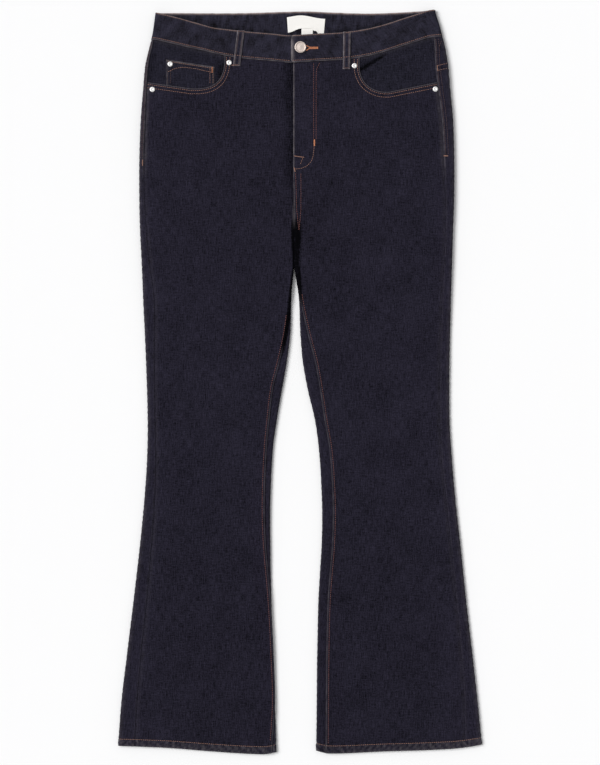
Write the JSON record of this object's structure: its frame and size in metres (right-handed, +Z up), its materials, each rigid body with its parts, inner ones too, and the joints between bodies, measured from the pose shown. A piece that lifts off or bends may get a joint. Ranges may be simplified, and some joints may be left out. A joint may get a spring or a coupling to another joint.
{
  "type": "flared jeans",
  "caption": "Dark indigo five-pocket jeans with flared legs, laid flat on their back: front panels, yoked back, waistband with loops, fly and patch pockets.",
  "frame": {"origin": "on the surface it lies on, under the middle of the garment", "axes": "+X to the wearer's left, +Y from the hems to the waist, +Z up from the surface, out of the front of the jeans"},
  "size_m": [0.5278, 1.0792, 0.0124],
  "materials": {
    "denim": "rinsed dark indigo right-hand twill, matt, with fine lighter vertical slubs",
    "denim_facing": "the same twill on pocket facings, coin pocket and fly shield",
    "denim_band": "the same twill, doubled and a little lighter where it is pressed and edge-worn",
    "thread": "copper-brown topstitching thread, brighter at bar tacks and buttonhole",
    "label_cloth": "white satin-woven label cloth, blank",
    "button_metal": "warm nickel, fine grained recessed face with a polished rim",
    "rivet_metal": "bright nickel, polished dome with a small dimple",
    "zip_tape": "woven navy tape, hidden behind the fly"
  },
  "bodies": {
    "root": {"front_panel_right": "denim", "back_panel_right": "denim", "back_yoke_right": "denim", "back_pocket_right": "denim", "pocket_facing_right": "denim_facing", "front_panel_left": "denim", "back_panel_left": "denim", "back_yoke_left": "denim", "back_pocket_left": "denim", "pocket_facing_left": "denim_facing", "coin_pocket": "denim_facing", "fly_shield": "denim_facing", "zip": "zip_tape", "waistband": "denim_band", "belt_loop_front_right": "denim_band", "belt_loop_front_left": "denim_band", "belt_loop_back_right": "denim_band", "belt_loop_back_centre": "denim_band", "belt_loop_back_left": "denim_band", "label": "label_cloth", "label_tab": "label_cloth", "button": "button_metal", "rivet_coin_pocket": "rivet_metal", "rivet_right_top": "rivet_metal", "rivet_right_side": "rivet_metal", "rivet_left_top": "rivet_metal", "rivet_left_side": "rivet_metal"}
  },
  "joints": []
}
